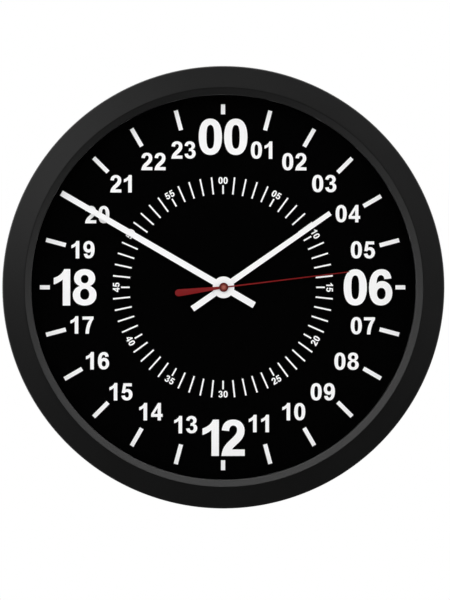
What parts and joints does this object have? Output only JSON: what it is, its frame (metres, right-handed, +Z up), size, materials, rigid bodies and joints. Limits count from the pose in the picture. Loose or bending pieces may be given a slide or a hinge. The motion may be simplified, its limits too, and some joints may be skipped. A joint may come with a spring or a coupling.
{
  "type": "twenty-four hour wall clock",
  "caption": "Round battery wall clock with a sloped black case, black dial with a twenty-four hour ring, white baton hands and a dark red sweep hand.",
  "frame": {"origin": "on the hand axis, in the plane of the wall that the rear rim touches", "axes": "+Z up, +Y into the wall, so the dial faces -Y, +X to the right of someone reading the dial"},
  "size_m": [0.355, 0.05, 0.3556],
  "materials": {
    "case_plastic": "moulded black, fine satin grain",
    "lens_clear": "clear, plain",
    "dial_black": "matt black sheet with plain white hour and minute marks",
    "hand_white": "white paint, semi-matt",
    "hand_red": "dark red paint, semi-matt",
    "movement_plastic": "moulded black",
    "gear_plastic": "natural acetal",
    "steel": "plated",
    "dark_steel": "dark plated",
    "brass": "turned",
    "copper": "enamelled copper wire",
    "board_green": "solder mask",
    "rubber": "plain",
    "cell_sleeve": "plain printed sleeve"
  },
  "bodies": {
    "clock_body": {"case_ring": "case_plastic", "lens": "lens_clear", "lens_spacer_ring": "dial_black", "dial_plate": "dial_black", "rear_cover": "case_plastic", "cover_screw_1": "dark_steel", "cover_screw_2": "dark_steel", "cover_screw_3": "dark_steel", "cover_screw_4": "dark_steel", "cover_screw_5": "dark_steel", "cover_screw_6": "dark_steel", "movement_housing": "movement_plastic", "movement_rear_plate": "movement_plastic", "train_bridge": "gear_plastic", "threaded_bush": "brass", "rubber_washer": "rubber", "brass_washer": "brass", "hex_nut": "brass", "contact_negative": "steel", "contact_positive": "steel", "stator": "dark_steel", "coil_core": "dark_steel", "coil_bobbin": "gear_plastic", "coil_winding": "copper", "circuit_board": "board_green", "driver_chip": "rubber", "quartz_crystal": "steel"},
    "minute": {"minute_hand": "hand_white", "minute_cannon": "steel", "centre_wheel": "gear_plastic"},
    "hour": {"hour_hand": "hand_white", "hour_wheel": "gear_plastic"},
    "second": {"second_hand": "hand_red", "second_hand_boss": "hand_red", "second_wheel": "gear_plastic"},
    "motion_work": {"motion_wheel": "gear_plastic", "setting_knob": "movement_plastic"},
    "third": {"third_wheel": "gear_plastic"},
    "intermediate": {"intermediate_wheel": "gear_plastic"},
    "rotor": {"rotor_pinion": "gear_plastic", "rotor_magnet": "dark_steel"},
    "cell": {"battery": "cell_sleeve"}
  },
  "joints": [
    {"name": "minute_hand_spin", "type": "hinge", "parent": "clock_body", "child": "minute", "pos_m": [0, -0.012, 0], "axis": [0, 1, 0], "continuous": true},
    {"name": "hour_hand_spin", "type": "hinge", "parent": "clock_body", "child": "hour", "pos_m": [0, -0.012, 0], "axis": [0, 1, 0], "continuous": true},
    {"name": "second_hand_spin", "type": "hinge", "parent": "clock_body", "child": "second", "pos_m": [0, -0.012, 0], "axis": [0, 1, 0], "continuous": true},
    {"name": "motion_work_spin", "type": "hinge", "parent": "clock_body", "child": "motion_work", "pos_m": [-0.00909, -0.012, 0.00525], "axis": [0, 1, 0], "continuous": true},
    {"name": "third_wheel_spin", "type": "hinge", "parent": "clock_body", "child": "third", "pos_m": [0.00846, -0.012, 0.00308], "axis": [0, 1, 0], "continuous": true},
    {"name": "intermediate_wheel_spin", "type": "hinge", "parent": "clock_body", "child": "intermediate", "pos_m": [0, -0.012, 0.0094], "axis": [0, 1, 0], "continuous": true},
    {"name": "rotor_spin", "type": "hinge", "parent": "clock_body", "child": "rotor", "pos_m": [-0.00495, -0.012, 0.01435], "axis": [0, 1, 0], "continuous": true},
    {"name": "battery_slide", "type": "slide", "parent": "clock_body", "child": "cell", "axis": [0, 1, 0], "range_m": [0, 0.018]}
  ],
  "couplings": [
    {"joint": "hour_hand_spin", "follows": "minute_hand_spin", "ratio": 0.041667},
    {"joint": "second_hand_spin", "follows": "minute_hand_spin", "ratio": 60},
    {"joint": "motion_work_spin", "follows": "minute_hand_spin", "ratio": -0.25},
    {"joint": "third_wheel_spin", "follows": "minute_hand_spin", "ratio": -8},
    {"joint": "intermediate_wheel_spin", "follows": "minute_hand_spin", "ratio": -300},
    {"joint": "rotor_spin", "follows": "minute_hand_spin", "ratio": 1800}
  ]
}
